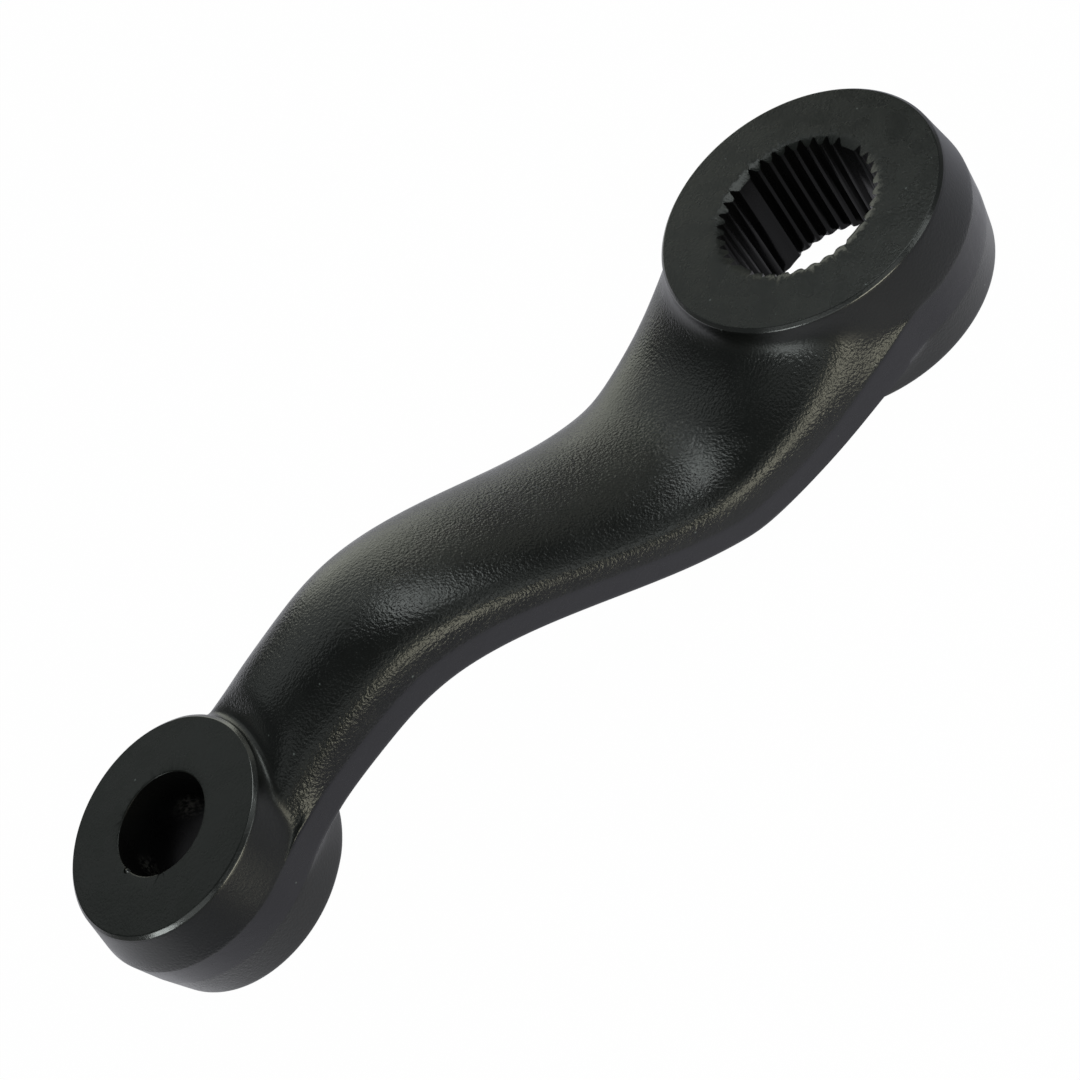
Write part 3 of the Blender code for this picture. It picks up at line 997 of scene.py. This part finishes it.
def wear(material, spots):
    """Lightens a coating at each worn spot: where it lies, how far it reaches, how strong it is."""
    tree = material.node_tree
    shader = tree.nodes["Principled BSDF"]
    worn = worn_spot_group()
    for row, (place, reach, strength) in enumerate(spots):
        spot = add_node(tree, "ShaderNodeGroup", (-350, 500 + 200 * row),
                        {"X": place.x, "Y": place.y, "Z": place.z, "Radius": reach, "Strength": strength},
                        node_tree=worn)
        bared = mix_node(tree, (-150, 500 + 200 * row), {"B": BARE_COLOUR})
        plain = shader.inputs["Base Color"].links[0].from_node
        link(tree,
             (spot, "Mask", bared, "Factor"),
             (plain, "Result", bared, "A"),
             (bared, "Result", shader, "Base Color"))


def mix_coatings(look, sizes):
    """The five finishes of the part."""
    grain = cast_grain_group()
    skin = coating("forged_skin", look.skin_colour, look.skin_roughness, grain,
                   wave_scale=1900, grain_share=0.5, bump=SKIN_BUMP)
    smooth_near_bosses(skin, sizes, look, SKIN_BUMP)
    coating("broken_edge", look.skin_colour, look.edge_roughness, grain,
            wave_scale=1400, grain_share=0.5, bump=0.02 * MM, shine=look.edge_shine)
    # The band's tone is partly a painted reflection of the pale floor
    coating("trimmed_band", look.trim_tone_and_painted_reflection, look.smooth_roughness, grain,
            wave_scale=500, grain_share=0.6, bump=0.03 * MM)
    coating("machined_face", look.machined_colour, look.smooth_roughness, grain,
            wave_scale=1600, grain_share=1.0, bump=0.035 * MM, shine=look.face_shine)
    # The bores' dark colour and low shine are partly painted shade of the shadowed floor under them
    bore = coating("bore_wall", look.bore_colour_and_painted_shade, look.smooth_roughness, grain,
                   wave_scale=700, grain_share=0.5, bump=0.01 * MM, shine=look.bore_shine)
    wear(bore, BORE_WEAR)


class PITMAN_OT_arm(Operator):
    """Forge, machine and coat the pitman arm"""

    bl_idname = "pitman.arm"
    bl_label = "Pitman Arm"
    bl_options = {"REGISTER", "UNDO"}

    def execute(self, context):
        sizes = context.scene.pitman_forging
        bores = context.scene.pitman_bores
        mix_coatings(context.scene.pitman_coating, sizes)
        arm = forge(sizes, bores.face_chamfer)
        machine(arm, sizes, bores)
        if len(arm.data.polygons) == 0:
            raise RuntimeError("the pitman arm came out empty")
        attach(arm, "root")
        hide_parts("pitman_arm")
        return {"FINISHED"}


class StageSettings(PropertyGroup):
    """The floor and the strength of the lights."""

    floor_side: length("Floor side", "Side of the square floor", 6.0)
    lamp_distance: length("Lamp distance", "From the middle of the arm to each soft light", 1.0)
    lamp_level: share("Lamp level", "Strength of all soft lights together", 1.0, 10.0)
    room_level: share("Room level", "Strength of the dim light from all round", 1.0, 10.0)


class SoftLight:
    """One rectangular soft light: where it hangs, how wide and high it looks, its brightness and tint.

    A light of nearness 1 hangs at the stage's own lamp distance, and a lower one nearer and as bright.
    """

    def __init__(self, azimuth, elevation, width, height, brightness, tint, nearness=1.0):
        self.azimuth = math.radians(azimuth)
        self.elevation = math.radians(elevation)
        self.width = width
        self.height = height
        self.brightness = brightness
        self.tint = tint
        self.nearness = nearness

    def direction(self):
        level = math.cos(self.elevation)
        return Vector((level * math.cos(self.azimuth), level * math.sin(self.azimuth),
                       math.sin(self.elevation)))

    def hang(self, name, distance, level):
        clear_selection()
        away = self.direction()
        distance = distance * self.nearness
        middle = (CAD_LOW + CAD_HIGH) / 2
        turn = away.to_track_quat("Z", "Y").to_euler()
        bpy.ops.object.light_add(type="AREA", location=middle + away * distance, rotation=turn)
        lamp = bpy.context.object
        lamp.name = name
        lamp.data.shape = "RECTANGLE"
        lamp.data.size = self.width * distance
        lamp.data.size_y = self.height * distance
        lamp.data.energy = math.pi * lamp.data.size * lamp.data.size_y * self.brightness * level
        lamp.data.color = self.tint
        lamp.visible_camera = False


# The lights, placed where the photo's reflections show them: degrees round and up, then the rest in
# SoftLight's own order
WARM = (1.0, 0.98, 0.78)
NEUTRAL = (0.97, 1.0, 0.86)
COOL = (0.93, 1.0, 0.97)
SOFT_LIGHTS = {
    "key": SoftLight(16, 60, 0.7, 0.34, 3.3, COOL, 0.42),
    "front": SoftLight(-88, 10, 0.58, 0.36, 4.2, WARM, 0.35),
    "front_high": SoftLight(-85, 36, 0.6, 0.3, 0.5, COOL),
    "front_right": SoftLight(-48, 22, 0.35, 0.4, 1.3, COOL),
    "front_left": SoftLight(-130, 30, 0.5, 0.5, 0.6, COOL),
    "back": SoftLight(74, 14, 0.73, 0.6, 1.5, NEUTRAL),
    "back_high": SoftLight(92, 44, 0.9, 0.5, 0.5, COOL),
    "left": SoftLight(-160, 20, 0.35, 0.35, 5.0, COOL),
    "left_high": SoftLight(-165, 52, 0.5, 0.5, 0.4, COOL),
    "right": SoftLight(-25, 45, 0.4, 0.5, 0.4, COOL),
    "back_right": SoftLight(35, 25, 0.4, 0.35, 0.35, NEUTRAL),
}


def pale_surface():
    """White sheet: nearly plain white to the camera, with a trace of the arm's shadow.

    Its reflection in the coating is an emission seen only by glossy rays: pale under and behind the arm,
    and painted shade, dim, in front and to the right.
    """
    material = bpy.data.materials.new("pale_floor")
    material.use_nodes = True
    tree = material.node_tree
    tree.nodes.clear()
    output = add_node(tree, "ShaderNodeOutputMaterial", (900, 0))
    matt = add_node(tree, "ShaderNodeBsdfDiffuse", (300, 100), {"Color": MATT_WHITE})
    sheet = add_node(tree, "ShaderNodeEmission", (0, -300), {"Strength": 1.0})
    coords = add_node(tree, "ShaderNodeTexCoord", (-800, -200))
    split = add_node(tree, "ShaderNodeSeparateXYZ", (-600, -200))
    front = fade_node(tree, (-400, -200), {"From Min": SHEET_FRONT[0], "From Max": SHEET_FRONT[1]})
    right = fade_node(tree, (-400, -500), {"From Min": SHEET_RIGHT[0], "From Max": SHEET_RIGHT[1],
                                           "To Min": SHEET_RIGHT_LEAST})
    # Painted shade: 0 where reflections show the sheet dimmed in front of and to the right of the arm, 1
    # where it is pale
    painted_shade_fade = math_node(tree, "MULTIPLY", (-300, -400))
    tint = mix_node(tree, (-200, -200), {"A": SHEET_PAINTED_SHADE, "B": SHEET_PALE})
    white = add_node(tree, "ShaderNodeEmission", (0, -100), {"Color": WHITE})
    rays = add_node(tree, "ShaderNodeLightPath", (-300, 300))
    passing = math_node(tree, "ADD", (-150, 500), use_clamp=True)
    clear = math_node(tree, "MULTIPLY", (0, 500), {1: WHITE_SHARE})
    mirrored = math_node(tree, "MULTIPLY", (0, 300), {1: MIRRORED_SHARE})
    seen = add_node(tree, "ShaderNodeMixShader", (500, 0))
    reflected = add_node(tree, "ShaderNodeMixShader", (700, 0))
    link(tree,
         (coords, "Object", split, "Vector"),
         (split, "Y", front, "Value"),
         (split, "X", right, "Value"),
         (front, "Result", painted_shade_fade, 0),
         (right, "Result", painted_shade_fade, 1),
         (painted_shade_fade, "Value", tint, "Factor"),
         (tint, "Result", sheet, "Color"),
         (rays, "Is Camera Ray", passing, 0),
         (rays, "Is Transmission Ray", passing, 1),
         (passing, "Value", clear, 0),
         (rays, "Is Glossy Ray", mirrored, 0),
         (clear, "Value", seen, "Fac"),
         (matt, "BSDF", seen, 1),
         (white, "Emission", seen, 2),
         (mirrored, "Value", reflected, "Fac"),
         (seen, "Shader", reflected, 1),
         (sheet, "Emission", reflected, 2),
         (reflected, "Shader", output, "Surface"))
    return material


def studio_world(level):
    """A dim room, lighter near the horizon, and white where the camera sees past the floor."""
    world = bpy.data.worlds.new("studio")
    bpy.context.scene.world = world
    world.use_nodes = True
    tree = world.node_tree
    tree.nodes.clear()
    output = add_node(tree, "ShaderNodeOutputWorld", (600, 0))
    coords = add_node(tree, "ShaderNodeTexCoord", (-800, 0))
    split = add_node(tree, "ShaderNodeSeparateXYZ", (-600, 0))
    height = fade_node(tree, (-400, 0), {"From Max": ROOM_FADE})
    tint = mix_node(tree, (-200, 0), {"A": ROOM_HORIZON, "B": ROOM_HIGH})
    room = add_node(tree, "ShaderNodeBackground", (100, 100), {"Strength": level})
    white = add_node(tree, "ShaderNodeBackground", (100, -100), {"Color": WHITE})
    rays = add_node(tree, "ShaderNodeLightPath", (100, 400))
    passing = math_node(tree, "ADD", (250, 400), use_clamp=True)
    blend = add_node(tree, "ShaderNodeMixShader", (400, 0))
    link(tree,
         (coords, "Generated", split, "Vector"),
         (split, "Z", height, "Value"),
         (height, "Result", tint, "Factor"),
         (tint, "Result", room, "Color"),
         (rays, "Is Camera Ray", passing, 0),
         (rays, "Is Transmission Ray", passing, 1),
         (passing, "Value", blend, "Fac"),
         (room, "Background", blend, 1),
         (white, "Background", blend, 2),
         (blend, "Shader", output, "Surface"))


def place_camera():
    side = VIEW_DIRECTION.cross(VIEW_UP).normalized()
    up = side.cross(VIEW_DIRECTION).normalized()
    turned = Matrix((side, up, -VIEW_DIRECTION.normalized())).transposed()
    bpy.ops.object.camera_add(location=VIEW_PLACE, rotation=turned.to_euler())
    camera = bpy.context.object
    camera.name = "view"
    camera.data.lens = VIEW_LENS_MM
    camera.data.sensor_width = VIEW_SENSOR_MM
    camera.data.clip_start = 10 * MM
    bpy.context.scene.camera = camera


class PITMAN_OT_stage(Operator):
    """Lay the floor, hang the lights and set up the camera"""

    bl_idname = "pitman.stage"
    bl_label = "Stage"
    bl_options = {"REGISTER", "UNDO"}

    def execute(self, context):
        stage = context.scene.pitman_stage
        clear_selection()
        bpy.ops.mesh.primitive_plane_add(size=stage.floor_side, location=(0, 0, CAD_LOW.z))
        floor = context.object
        floor.name = "floor"
        floor.data.materials.append(pale_surface())
        for name, light in SOFT_LIGHTS.items():
            light.hang(name, stage.lamp_distance, stage.lamp_level)
        studio_world(stage.room_level)
        clear_selection()
        place_camera()
        context.scene.view_settings.view_transform = "Standard"
        return {"FINISHED"}


class PITMAN_PT_panel(Panel):
    """Sizes, colours and lights, with a button for each piece"""

    bl_idname = "PITMAN_PT_panel"
    bl_label = "Pitman Arm"
    bl_space_type = "VIEW_3D"
    bl_region_type = "UI"
    bl_category = "Pitman Arm"

    def draw(self, context):
        layout = self.layout
        for title, group in (("Forging", context.scene.pitman_forging),
                             ("Bores", context.scene.pitman_bores),
                             ("Coating", context.scene.pitman_coating),
                             ("Stage", context.scene.pitman_stage)):
            box = layout.box()
            box.label(text=title)
            for name in group.__annotations__:
                box.prop(group, name)
        layout.operator(PITMAN_OT_arm.bl_idname)
        layout.operator(PITMAN_OT_stage.bl_idname)


CLASSES = (ForgingSizes, BoreSizes, CoatingLook, StageSettings, PITMAN_OT_arm, PITMAN_OT_stage,
           PITMAN_PT_panel)


def register():
    for cls in CLASSES:
        bpy.utils.register_class(cls)
    bpy.types.Scene.pitman_forging = PointerProperty(type=ForgingSizes)
    bpy.types.Scene.pitman_bores = PointerProperty(type=BoreSizes)
    bpy.types.Scene.pitman_coating = PointerProperty(type=CoatingLook)
    bpy.types.Scene.pitman_stage = PointerProperty(type=StageSettings)


def unregister():
    del bpy.types.Scene.pitman_stage
    del bpy.types.Scene.pitman_coating
    del bpy.types.Scene.pitman_bores
    del bpy.types.Scene.pitman_forging
    for cls in reversed(CLASSES):
        bpy.utils.unregister_class(cls)


def main():
    register()
    bpy.ops.pitman.arm()
    bpy.ops.pitman.stage()


if __name__ == "__main__":
    main()
